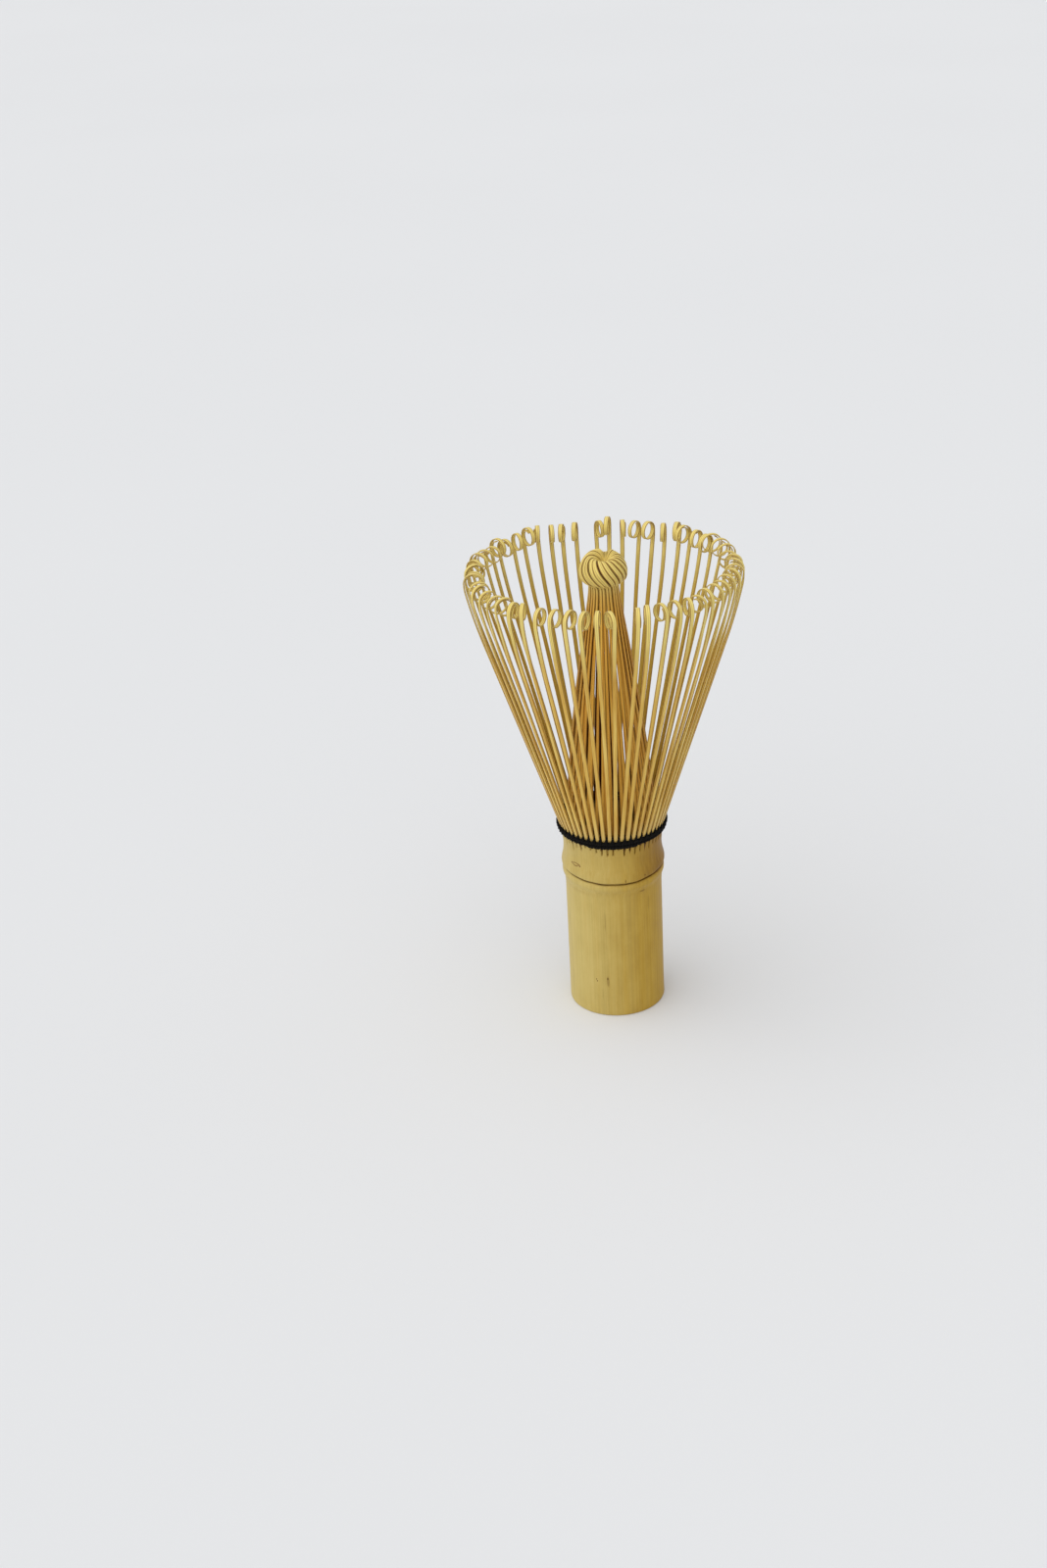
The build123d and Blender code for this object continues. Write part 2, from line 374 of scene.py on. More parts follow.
# Columns of the culm's skin in each pitch: place, as a share of the pitch from the middle of
# a slit, how deep the slit is there, and how stained
COLUMNS = [
    (-0.30, 0.0, 0.0),
    (-0.175, 0.0, 0.7),
    (-0.11, 1.0, 1.0),
    (0.0, 1.0, 1.0),
    (0.11, 1.0, 1.0),
    (0.175, 0.0, 0.7),
    (0.30, 0.0, 0.0),
    (0.5, 0.0, 0.0),
]
SLIT_DEPTH = 1.4
SLIT_FOOT = (44.9, 48.0, 46.9)
STAIN_TAPER = 7.0

BARK_TONES = (0.34, 0.50, 0.66)
# Bark tones for the lit -X side and for the +X side away from the light: the blend between them is painted shade
BARK_LIT_SIDE = [(0.50, 0.37, 0.105), (0.595, 0.462, 0.152), (0.66, 0.53, 0.205)]
BARK_SHADED_SIDE = [(0.37, 0.21, 0.024), (0.475, 0.29, 0.036), (0.56, 0.37, 0.065)]
# Painted shade for the crown's +X side above the node, away from the light
CROWN_PAINTED_SHADE = [(0.15, 0.062, 0.005), (0.23, 0.105, 0.009), (0.34, 0.175, 0.022)]
CROWN_TINT = (0.42, 0.24, 0.035)
STREAK_BROWN = (0.20, 0.085, 0.014)
STREAK_BLACK = (0.045, 0.014, 0.004)
RING_BROWN = (0.33, 0.18, 0.035)
MARK_BROWN = (0.10, 0.035, 0.006)
SCAR_BROWN = (0.17, 0.062, 0.014)
LINE_BLACK = (0.085, 0.024, 0.004)

STREAK_R = 12.3
STREAK_TOP_Z = 48.6
STREAK_LENGTH = (1.3, 3.0)
STREAK_HALF_WIDTH = 0.52

MARK_R = 12.2
MARK_DEPTH = 1 / 0.15
MARK_UNEVEN = 0.6
SCAR_STRENGTH = 0.9
# Marks in the bark: azimuth in degrees, height, half width and half height, and how dark
BARK_MARKS = [
    (-25.8, 10.3, 0.13, 0.30, 0.8),
    (-24.6, 9.8, 0.20, 0.24, 0.9),
    (-11.5, 10.8, 0.17, 0.45, 0.9),
    (-11.0, 10.0, 0.40, 1.7, 0.35),
    (12.9, 38.8, 0.17, 0.70, 0.7),
    (36.8, 39.2, 0.22, 0.25, 0.8),
    (-12.2, 27.5, 0.20, 3.6, 0.22),
    (-18.0, 6.5, 0.12, 2.0, 0.2),
    (44.0, 30.5, 0.35, 2.6, 0.18),
    (34.8, 34.7, 0.9, 0.30, 0.5),
    (-71.0, 24.0, 0.3, 4.0, 0.25),
    (118.0, 19.0, 0.4, 6.0, 0.3),
    (163.0, 9.0, 0.2, 0.5, 0.7),
    (205.0, 30.0, 0.25, 3.0, 0.35),
    (248.0, 14.0, 0.18, 0.4, 0.7),
]
# The closed oval scar above the node, as marks round its rim: azimuth in degrees, height,
# half width and half height
SCAR = [
    (-55.3, 41.72, 0.30, 0.21),
    (-52.0, 41.92, 0.50, 0.14),
    (-48.6, 42.03, 0.55, 0.14),
    (-45.2, 41.97, 0.55, 0.14),
    (-42.8, 41.86, 0.35, 0.14),
    (-53.0, 41.50, 0.45, 0.14),
    (-50.0, 41.31, 0.50, 0.16),
    (-47.2, 41.34, 0.50, 0.15),
    (-44.6, 41.62, 0.40, 0.14),
    (-41.7, 41.56, 0.28, 0.27),
]


def bark_material():
    """Bark of the culm: pale gold, with painted shade that deepens it towards its +X side and browns the crown's
    +X side, with fibres, mottling and a few marks.
    """
    s = Shader("bamboo_bark")
    place = s.position()
    fibres = s.noise(s.stretch(place, (2400, 2400, 45)), 4, 0.65)
    bands = s.noise(s.stretch(place, (380, 380, 11)), 3)
    mottle = s.noise(s.stretch(place, (170, 170, 105)), 4, 0.65)
    tone = s.total((fibres, 0.36), (bands, 0.34), (mottle, 0.30))
    x, y, z = s.parts(place)
    wander = s.math("MULTIPLY", s.math("SUBTRACT", bands, 0.5), 0.02)
    # Painted shade: the bark deepens from the lit -X side to the +X side, away from the light.
    pale = s.ramp(tone, BARK_TONES, BARK_LIT_SIDE)
    deep = s.ramp(tone, BARK_TONES, BARK_SHADED_SIDE)
    colour = s.mix(s.span(s.math("ADD", x, wander), -12.5 * MM, 11.5 * MM), pale, deep)
    # Painted shade: above the node, the crown's +X side, away from the light, is darkened to a brown ramp.
    above_node = s.span(z, NODE_Z * MM, (NODE_Z + 0.2) * MM)
    shaded_crown_side = s.math("MULTIPLY", s.span(x, 2 * MM, 12.5 * MM), above_node)
    brown = s.ramp(tone, BARK_TONES, CROWN_PAINTED_SHADE)
    colour = s.mix(s.math("MULTIPLY", shaded_crown_side, 0.85), colour, brown)
    colour = s.mix(s.span(z, NODE_Z * MM, (NODE_Z + 3) * MM, 0.0, 0.10), colour, CROWN_TINT)
    streak = slit_streaks(s, x, y, z, wander)
    colour = s.mix(s.span(streak, 0.0, 0.55, 0.0, 0.8), colour, STREAK_BROWN)
    colour = s.mix(s.span(streak, 0.45, 1.0, 0.0, 0.95), colour, STREAK_BLACK)
    line, ring, _ = s.parts(s.attribute("grain"))
    ring = s.math("MULTIPLY", ring, s.span(mottle, 0.3, 0.7, 0.5, 1.3))
    colour = s.mix(ring, colour, RING_BROWN)
    uneven = s.math("MULTIPLY", s.math("SUBTRACT", mottle, 0.5), MARK_UNEVEN)
    for mark in BARK_MARKS:
        colour = s.mix(spot(s, place, *mark, uneven), colour, MARK_BROWN)
    for mark in SCAR:
        colour = s.mix(spot(s, place, *mark, SCAR_STRENGTH), colour, SCAR_BROWN)
    line = s.math("MULTIPLY", line, s.span(mottle, 0.25, 0.6, 0.75, 1.0))
    colour = s.mix(line, colour, LINE_BLACK)
    rough = s.span(mottle, 0.3, 0.7, 0.36, 0.50)
    height = s.total((fibres, 0.7), (mottle, 0.3))
    return s.finish(colour, rough, 0.15, height, 0.06)


def slit_streaks(s, x, y, z, wander):
    """Brown streaks that run down from the slits to a point, each its own length."""
    azimuth = s.math("ARCTAN2", x, s.math("MULTIPLY", y, -1.0))
    turns = s.math("DIVIDE", s.math("SUBTRACT", azimuth, FIRST_AZIMUTH), PITCH)
    slits = s.math("ADD", turns, TINE_COUNT - 0.5)
    nearest = s.math("MODULO", s.math("ROUND", slits), TINE_COUNT)
    dice = s.node("ShaderNodeTexWhiteNoise", {"W": nearest}, noise_dimensions="1D")
    off = s.math("MULTIPLY", s.math("PINGPONG", slits, 0.5), PITCH * STREAK_R)
    extra = s.math("MULTIPLY", s.math("POWER", dice.outputs["Value"], 1.6), STREAK_LENGTH[1])
    length = s.math("ADD", STREAK_LENGTH[0], extra)
    top = s.math("ADD", STREAK_TOP_Z, s.math("MULTIPLY", wander, 18.0))
    drop = s.math("SUBTRACT", top, s.math("DIVIDE", z, MM))
    left = s.math("SUBTRACT", 1.0, s.math("DIVIDE", drop, length))
    half_width = s.math("MULTIPLY", s.math("MAXIMUM", left, 0.0), STREAK_HALF_WIDTH)
    across = s.span(s.math("SUBTRACT", off, half_width), -0.30, 0.06, 1.0, 0.0)
    return s.math("MULTIPLY", across, s.span(left, 0.0, 0.3))


def spot(s, place, azimuth, height, half_width, half_height, strength, uneven=0.0):
    """A soft-edged oval mark on the culm's skin."""
    turn = math.radians(azimuth)
    centre = radial(turn) * MARK_R + UP * height
    moved = s.vector_math("SUBTRACT", place, tuple(centre * MM))
    inputs = {"Vector": moved, "Angle": -turn}
    turned = s.node("ShaderNodeVectorRotate", inputs, rotation_type="Z_AXIS")
    scale = tuple(1 / (reach * MM) for reach in (half_width, MARK_DEPTH, half_height))
    scaled = s.vector_math("MULTIPLY", turned.outputs[0], scale)
    distance = s.math("ADD", s.vector_math("LENGTH", scaled, output="Value"), uneven)
    return s.span(distance, 0.45, 1.1, strength, 0.0)


def flare_r(z):
    """Outside radius of the crown above its waist."""
    return WAIST_R + FLARE_R - np.sqrt(FLARE_R**2 - (np.asarray(z) - WAIST_Z) ** 2)


def culm_outline():
    """(r, z) down the bore from its closed end, up the outside, and down the crown's inside."""
    bore = [
        (CENTRE_R, DIAPHRAGM[0] + 0.2),
        (4.5, DIAPHRAGM[0] + 0.15),
        (BORE_R - 0.5, DIAPHRAGM[0]),
        (BORE_R, DIAPHRAGM[0] - 0.5),
        (BORE_R, 20.0),
        (BORE_R, 8.0),
        (BORE_R, 0.3),
    ]
    foot_edge = [(HANDLE_R - 0.45, 0), (HANDLE_R - 0.06, 0.16), (HANDLE_R, 0.55)]
    foot = curve_through([(BORE_R + 0.3, 0), (10.4, 0.02), *foot_edge], 4)
    shaft = [(HANDLE_R, z) for z in np.linspace(1.2, 32.6, 34)]
    node = curve_through(
        [
            (HANDLE_R, 33.2),
            (HANDLE_R + 0.16, 34.9),
            (12.50, 36.05),
            (12.55, 36.65),
            (12.50, 37.02),
            (12.22, 37.38),
            (11.82, NODE_Z),
            (12.18, 37.84),
            (12.50, 38.18),
            (12.68, 38.30),
            (12.72, 38.90),
            (12.60, 39.80),
            (12.30, 41.40),
            (12.13, 42.70),
        ],
        4,
    )
    flare_z = np.linspace(WAIST_Z, CULM_TOP_Z, 44)
    flare = np.stack([flare_r(flare_z), flare_z], 1)
    inside = [
        (float(flare_r(CULM_TOP_Z)) - LIP_THICK, CULM_TOP_Z),
        (11.76, 46.2),
        (11.60, 46.2),
        (11.33, CULM_TOP_Z),
        (10.85, CULM_TOP_Z),
        (CROWN_BORE_R, 44.6),
        (CROWN_BORE_R, DIAPHRAGM[1] + 0.3),
        (CROWN_BORE_R - 0.3, DIAPHRAGM[1]),
        (5.0, DIAPHRAGM[1] - 0.1),
        (CENTRE_R, DIAPHRAGM[1] - 0.15),
    ]
    return np.array(bore), np.concatenate([foot, shaft, node, flare]), np.array(inside)


def make_culm():
    bore, outside, inside = culm_outline()
    outline = np.concatenate([bore, outside, inside])
    shares, cuts, stains = np.tile(np.array(COLUMNS), (TINE_COUNT, 1)).T
    slits = np.repeat(np.arange(TINE_COUNT), len(COLUMNS))
    feet_rng = random.Random(SEED + 1)
    feet = np.array([feet_rng.triangular(*SLIT_FOOT) for _ in range(TINE_COUNT)])[slits]
    shape = (len(outline), len(slits))
    r = np.broadcast_to(outline[:, :1], shape)
    z = np.broadcast_to(outline[:, 1:], shape)
    a = np.broadcast_to(FIRST_AZIMUTH + (slits + 0.5 + shares) * PITCH, shape)
    row = np.arange(len(outline))
    out = ((row >= len(bore)) & (row < len(bore) + len(outside)))[:, None]
    marks = np.zeros((*shape, 3))

    # The node's line wanders and its ends rise, less and less above and below it.
    line_gap = np.abs(z - NODE_Z)
    sway = 0.16 * wobble(a, 3, (1, 2, 3)) + 0.07 * wobble(a, 4, (7, 11, 17))
    sway = sway + NODE_SWAY * (1 - np.cos(2 * a)) / 2
    z = z + out * bump(line_gap, NODE_REACH) * sway
    line_ink = 0.85 + 0.15 * wobble(a, 5, (9, 14))
    marks[:, :, 0] = out * np.clip(1.25 - line_gap / 0.2, 0, 1) * line_ink
    marks[:, :, 1] = out * bump(z - SCAR_RING_Z, 0.25) * 0.22 * (1 + wobble(a, 6, (3, 5)))

    # The culm isn't quite round or straight between its foot and its crown.
    bulge = 0.05 * wobble(a + 0.01 * z, 8, (2, 3)) + 0.018 * wobble(a, 9, (13, 22, 31))
    r = r + out * bulge * smoothstep((z - 0.2) / 3) * (1 - smoothstep((z - 43) / 3))

    # The slits are cut into the crown and stained round their feet.
    on_crown = out * (z > WAIST_Z)
    r = r - SLIT_DEPTH * cuts * smoothstep((z - feet + 0.5) / 1.1) * on_crown
    taper = STAIN_TAPER * np.abs(shares)
    stain = stains * smoothstep((z - feet - taper + 0.3) / 1.2) * on_crown
    marks[:, :, 0] = np.maximum(marks[:, :, 0], stain)

    bundle = Bundle()
    faces = turned_over(ring_faces(*shape))
    bundle.add(round_axis(r, a, z).reshape(-1, 3), faces, marks.reshape(-1, 3))
    culm = bundle.make("culm", bark_material())
    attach(culm, ROOT_BODY)
    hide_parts("culm_handle")


# ---------------------------------------------------------------- split bamboo
TINE_TONES = (0.36, 0.5, 0.64)
# Added to a tine's number, so that each tine has its own place in the noise
OUTER_TAG = 0.37
INNER_TAG = 0.71
# Distance along an inner tine at which its knot strand starts
KNOT_ALONG = 60.0
# Painted highlight along the middle of each knot strand
KNOT_PAINTED_HIGHLIGHT = (1.0, 0.82, 0.25)
# How far the dark seam of a knot strand strays from its middle, in half widths
SEAM_WANDER = 0.8


def split_material(name, tones, side, under, pale, pale_from, pale_share, root, root_to):
    """Split bamboo: streaks along the strip, paler towards its tip, dark sides and pith face that are partly
    painted shade, and a painted highlight on the knot strands.
    """
    s = Shader(name)
    grain = s.attribute("grain")
    across, along, _ = s.parts(grain)
    streaks = s.noise(s.stretch(grain, (3.4, 0.15, 7.0)), 4, 0.65)
    slow = s.noise(s.stretch(grain, (0.5, 0.05, 3.0)), 2)
    colour = s.ramp(s.total((streaks, 0.5), (slow, 0.5)), TINE_TONES, tones)
    # Towards the root the colour eases to the root colour: for the inner tines painted shade near the thread, for
    # the outer tines their own colour
    colour = s.mix(s.span(along, 1.5, root_to, 0.8, 0.0), colour, root)
    # The pith face takes the under colour: the outer tines' own pith colour, and for the inner tines painted shade
    # inside the cone
    colour = s.mix(s.span(s.attribute("under", "Fac"), 0.3, 0.9), colour, under)
    colour = s.mix(s.span(along, pale_from, pale_from + 16, 0.0, pale_share), colour, pale)
    aside = s.math("ABSOLUTE", across)
    on_knot = s.span(along, KNOT_ALONG, KNOT_ALONG + 3)
    # Painted highlight: the middle of each knot strand is lightened towards gold.
    knot_highlight = s.math("MULTIPLY", s.span(aside, 0.0, 0.8, 0.8, 0.2), on_knot)
    colour = s.mix(knot_highlight, colour, KNOT_PAINTED_HIGHLIGHT)
    wander = s.math("MULTIPLY", s.math("SUBTRACT", slow, 0.5), SEAM_WANDER)
    seam = s.span(s.math("ABSOLUTE", s.math("ADD", across, wander)), 0.04, 0.24, 0.5, 0.0)
    colour = s.mix(s.math("MULTIPLY", seam, on_knot), colour, side)
    # Painted shade, partly the split sides' own darker colour: the strip's sides and edges take the side colour,
    # widened on the knot where its strands crowd
    edge = s.span(s.math("ADD", aside, s.math("MULTIPLY", on_knot, 0.07)), 0.72, 0.98)
    colour = s.mix(s.math("MULTIPLY", edge, 0.85), colour, side)
    rough = s.span(streaks, 0.3, 0.7, 0.34, 0.52)
    return s.finish(colour, rough, 0.18, streaks, 0.04)


# ---------------------------------------------------------------- outer tines
TINE_LEAN = 18.0
STEM_TOP_Z = 98.0
EASE_LENGTH = 14.0
EASE_LEAN = 12.5
UPRIGHT_R = 12.0
CURL_R = 2.32
CURL_TURN = 460.0
STEM_SPREAD = 0.5
LEAN_SPREAD = 0.22
CURL_SPREAD = 0.14
TURN_SPREAD = 50.0
TWIST_SPREAD = 25.0
SKEW_SPREAD = 0.6
BOW_SPREAD = 0.28
# How much the curl's radius shrinks in each turn
TIGHTEN = (0.35, 0.75)
TINE_WIDTH = (0.94, 1.02)
TINE_THICKS = ([0, 0.5, 0.85, 1], [0.56, 0.46, 0.34, 0.24])
# How far inside the crown the strip starts, before its hinge
TINE_LEAD = 1.3
STEM_STEPS = 26
EASE_STEPS = 8
UPRIGHT_STEPS = 5
CURL_STEP = 10.0
TWIST_STEPS = 14


def tine_plan():
    """The shape of one outer tine, from the draws that its CAD solid was made with.

    The first draw there tilts the tine sideways, which the joint's axis already has.
    """
    rng.uniform(-1, 1)
    return {
        "lean": TINE_LEAN + rng.uniform(-LEAN_SPREAD, LEAN_SPREAD),
        "stem_top": STEM_TOP_Z + rng.uniform(-STEM_SPREAD, STEM_SPREAD),
        "curl_r": CURL_R + rng.uniform(-CURL_SPREAD, CURL_SPREAD),
        "turn": CURL_TURN + rng.uniform(-TURN_SPREAD, TURN_SPREAD),
    }


def tine_moves(plan, root_z, tighten):
    """Steps up the tine, each (length, degrees turned inwards, share of the way round the curl)."""
    stem = TINE_LEAD + (plan["stem_top"] - root_z) / math.cos(math.radians(plan["lean"]))
    ease = plan["lean"] - EASE_LEAN
    upright = UPRIGHT_R * math.radians(EASE_LEAN) / UPRIGHT_STEPS
    moves = [(stem / STEM_STEPS, 0.0, 0.0)] * STEM_STEPS
    moves += [(EASE_LENGTH / EASE_STEPS, ease / EASE_STEPS, 0.0)] * EASE_STEPS
    moves += [(upright, EASE_LEAN / UPRIGHT_STEPS, 0.0)] * UPRIGHT_STEPS
    steps = round(plan["turn"] / CURL_STEP)
    for i in range(steps):
        radius = plan["curl_r"] - tighten * i * CURL_STEP / 360
        moves.append((radius * math.radians(CURL_STEP), CURL_STEP, (i + 1) / steps))
    return moves


def walk_up(at, out, hinge, up, lean, twist, moves):
    """Points up the middle of a tine, with its lean, twist and share of the curl at each."""
    points = [at]
    turns = [(lean, 0.0, 0.0)]
    for i, (length, turn, curl) in enumerate(moves):
        step = math.radians(turn)
        twisted = twist * float(smoothstep((i - STEM_STEPS - 1) / TWIST_STEPS))
        middle = lean - step / 2
        flat = math.cos(twisted) * out + math.sin(twisted) * hinge
        at = at + length * (math.sin(middle) * flat + math.cos(middle) * up)
        lean -= step
        points.append(at)
        turns.append((lean, twisted, curl))
    return np.array(points), *np.array(turns).T


def make_outer_tine(index, node, joint, shape_rng, material):
    plan = tine_plan()
    tighten = shape_rng.uniform(*TIGHTEN)
    twist = math.radians(shape_rng.uniform(-TWIST_SPREAD, TWIST_SPREAD))
    skew = shape_rng.uniform(-SKEW_SPREAD, SKEW_SPREAD)
    bow = shape_rng.uniform(-BOW_SPREAD, BOW_SPREAD)
    width = shape_rng.uniform(*TINE_WIDTH)
    root = np.array(joint["pos_m"]) / MM
    hinge = np.array(joint["axis"])
    out = np.array([root[0], root[1], 0.0]) / math.hypot(root[0], root[1])
    up = np.cross(out, hinge)
    lean = math.radians(plan["lean"])
    start = root - TINE_LEAD * (math.sin(lean) * out + math.cos(lean) * up)
    moves = tine_moves(plan, root[2], tighten)
    centres, leans, twists, curl = walk_up(start, out, hinge, up, lean, twist, moves)
    flats = np.cos(twists)[:, None] * out + np.sin(twists)[:, None] * hinge
    directions = np.sin(leans)[:, None] * flats + np.cos(leans)[:, None] * up
    sides = np.cos(twists)[:, None] * hinge - np.sin(twists)[:, None] * out
    normals = np.cross(sides, directions)
    place = np.arange(len(centres))
    stem_share = np.clip(place / STEM_STEPS, 0, 1)
    centres = centres + sides * (bow * np.sin(math.pi * stem_share) + skew * curl)[:, None]
    climb = np.clip(place / (STEM_STEPS + EASE_STEPS + UPRIGHT_STEPS), 0, 1)
    tip = smoothstep((curl - 0.85) / 0.15)
    widths = width * (1 + 0.08 * smoothstep((climb - 0.6) / 0.4)) * (1 - 0.35 * tip)
    thicks = np.interp(climb, *TINE_THICKS) * (1 - 0.25 * curl)
    bundle = Bundle()
    bundle.add(*strip(centres, sides, normals, widths, thicks, index + OUTER_TAG))
    tine = bundle.make(f"tine_{index + 1:02d}", material)
    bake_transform(tine)
    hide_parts(node)


def make_outer_tines():
    material = split_material(
        "outer_tine_bamboo",
        tones=[(0.54, 0.285, 0.038), (0.72, 0.465, 0.095), (0.83, 0.625, 0.180)],
        # Dark split sides: partly their own colour, partly painted shade in the gaps between the tines
        side=(0.24, 0.075, 0.008),
        under=(0.52, 0.345, 0.055),
        pale=(0.73, 0.60, 0.19),
        pale_from=50.0,
        pale_share=0.85,
        root=(0.66, 0.46, 0.14),
        root_to=8.0,
    )
    shape_rng = random.Random(SEED + 2)
    for i, (node, joint) in enumerate(zip(TINE_NODES, frame["joints"])):
        make_outer_tine(i, node, joint, shape_rng, material)


# ---------------------------------------------------------------- inner tines and knot
INNER_R = 11.07
INNER_FOOT_Z = CULM_TOP_Z - 0.3
NECK_Z = 109.4
INNER_BOW = 0.6
BOW_VARIES = 0.35
CONE_STEPS = 34
DRIFT_SPREAD = 2.3
STRAY_SPREAD = 1.6
LIFT = (-0.06, 0.12)
# Every second tine ends inside the knot. Each layer has its own radius and strip width at the neck.
NECK_RADII = (3.4, 2.85)
NECK_WIDTHS = (0.54, 0.44)
CONE_WIDTHS = ([CULM_TOP_Z, 70, 90], [1.02, 0.80, 0.62])
INNER_THICKS = ([0, CONE_STEPS, CONE_STEPS + 6], [0.44, 0.34, 0.42])
INSIDE_KNOT = 8
INSIDE_DEPTH = 0.45

# (r, z) from the neck over the knot's widest line into its dimple
KNOT_OUTLINE = [
    (3.35, 111.3),
    (3.9, 111.95),
    (4.75, 112.45),
    (5.28, 113.5),
    (5.4, 114.9),
    (5.08, 116.4),
    (4.2, 117.75),
    (3.2, 118.4),
    (2.1, 118.1),
    (1.15, 117.0),
    (0.5, 115.6),
]
KNOT_SLANT = math.radians(36.0)
SLANT_AZIMUTH = math.radians(-40)
KNOT_NOD = 1.0
KNOT_TILT = 0.17
CREASE_AZIMUTH = math.radians(172)
CREASE_DEPTH = 0.9
CREASE_WIDTH = 0.24
STRAND_WIDTH = (0.2, 1.6)
STRAND_CROWN = 0.42
PARTING = (0.04, 0.55)
PARTING_AT = (0.34, 0.62)
CORE_DEPTH = 0.5
CORE_COLUMNS = 48


def slant_at(azimuth):
    """How far the knot's strands lean over: most at the front left, least at the back right."""
    return KNOT_SLANT * (0.66 + 0.34 * math.cos(azimuth - SLANT_AZIMUTH))


def knot_outline(per_span):
    """The knot's outline and its directions along it, both as (r, z)."""
    outline = curve_through(KNOT_OUTLINE, per_span)
    return outline, unit(np.gradient(outline, axis=0))


def knot_path(azimuth, lift):
    """Cylinder coordinates of a strand that winds up over the knot, and its directions in (r, z)."""
    outline, along = knot_outline(5)
    middles = (outline[1:, 0] + outline[:-1, 0]) / 2
    steps = np.linalg.norm(np.diff(outline, axis=0), axis=1)
    wound = np.concatenate([[0], np.cumsum(steps / np.maximum(middles, 0.8))])
    turn = math.tan(slant_at(azimuth)) * wound
    share = smoothstep(np.arange(len(outline)) / 6)
    r = outline[:, 0] + along[:, 1] * lift * share
    z = outline[:, 1] - along[:, 0] * lift * share
    return np.stack([np.maximum(r, 0.12), z, azimuth - turn], 1), along


def inner_path(azimuth, layer, drift, bow, lift):
    """Cylinder coordinates (r, z, azimuth) of an inner tine, and the way out from it in (r, z)."""
    t = np.linspace(0, 1, CONE_STEPS)
    arch = np.sin(math.pi * t)
    r = INNER_R + (NECK_RADII[layer] - INNER_R) * t + bow * arch
    z = INNER_FOOT_Z + (NECK_Z - INNER_FOOT_Z) * t
    cone = np.stack([r, z, azimuth + drift * arch], 1)
    outward = np.tile([1.0, 0.14], (CONE_STEPS, 1))
    knot, along = knot_path(azimuth, lift)
    if layer:
        knot, along = knot[:INSIDE_KNOT] - [INSIDE_DEPTH, 0, 0], along[:INSIDE_KNOT]
    away = np.stack([along[:, 1], -along[:, 0]], 1)
    return np.concatenate([cone, knot]), np.concatenate([outward, away])


def in_space(path):
    """Points in space from cylinder coordinates. The knot nods forwards, with a crease behind."""
    r, z, a = path.T
    points = round_axis(r, a, z)
    nod = smoothstep((z - 112.5) / 5.5)
    from_crease = (a - CREASE_AZIMUTH + math.pi) % math.tau - math.pi
    crease = CREASE_DEPTH * bump(from_crease, CREASE_WIDTH) * smoothstep((z - 114.5) / 2.5)
    points[:, 2] += KNOT_TILT * points[:, 1] * nod - crease
    points[:, 1] -= KNOT_NOD * nod
    return points


def add_knot_shade_core(bundle):
    """A dark core inside the knot: painted shade that shows between its strands."""
    outline, along = knot_outline(3)
    outline = outline - np.stack([along[:, 1], -along[:, 0]], 1) * CORE_DEPTH
    outline = outline[outline[:, 0] > 0.3]
    angles = np.arange(CORE_COLUMNS) * math.tau / CORE_COLUMNS
    paths = [np.stack([r + 0 * angles, z + 0 * angles, angles], 1) for r, z in outline]
    rows = len(outline)
    grain = np.zeros((rows * CORE_COLUMNS, 3))
    grain[:, 0] = np.tile(np.sin(angles * 20), rows)
    grain[:, 1] = KNOT_ALONG / 2
    faces = turned_over(ring_faces(rows, CORE_COLUMNS))
    bundle.add(np.concatenate([in_space(p) for p in paths]), faces, grain, np.ones(len(grain)))


def add_inner_tine(bundle, index, shape_rng):
    layer = index % 2
    drift = math.radians(shape_rng.uniform(-DRIFT_SPREAD, DRIFT_SPREAD))
    bow = INNER_BOW + shape_rng.uniform(-BOW_VARIES, BOW_VARIES)
    lift = shape_rng.uniform(*LIFT)
    stray = math.radians(shape_rng.uniform(-STRAY_SPREAD, STRAY_SPREAD))
    root_azimuth = FIRST_AZIMUTH + (index + 0.5) * PITCH
    path, outward = inner_path(root_azimuth + stray, layer, drift, bow, lift)
    next_path = inner_path(root_azimuth + stray + 2 * PITCH, layer, drift, bow, lift)[0]
    a = path[:, 2]
    count = len(path)
    points = smoothed(in_space(path), 2)
    out = smoothed(round_axis(outward[:, 0], a, outward[:, 1]), 3)
    tangents = unit(np.gradient(points, axis=0))
    sides = unit(np.cross(tangents, out))
    normals = np.cross(sides, tangents)
    steps = np.arange(count)
    on_knot = smoothstep((steps - CONE_STEPS + 3) / 5)
    spacing = np.abs(next_path[:, 2] - a) * path[:, 0] * math.cos(slant_at(root_azimuth))
    over = np.clip((steps - CONE_STEPS) / (count - CONE_STEPS), 0, 1)
    parting = shape_rng.uniform(*PARTING) * (0.68 + 0.32 * math.cos(root_azimuth - SLANT_AZIMUTH))
    parting_at = shape_rng.uniform(*PARTING_AT)
    fill = 0.99 - parting * bump(over - parting_at, 0.17)
    knot_width = np.clip(spacing * fill, *STRAND_WIDTH)
    heights, cone_widths = CONE_WIDTHS
    cone_width = np.interp(path[:, 1], [*heights, NECK_Z], [*cone_widths, NECK_WIDTHS[layer]])
    widths = cone_width * (1 - on_knot) + knot_width * on_knot
    thicks = np.interp(steps, *INNER_THICKS)
    crown = STRAND_CROWN * on_knot
    bundle.add(*strip(points, sides, normals, widths, thicks, index + INNER_TAG, crown))


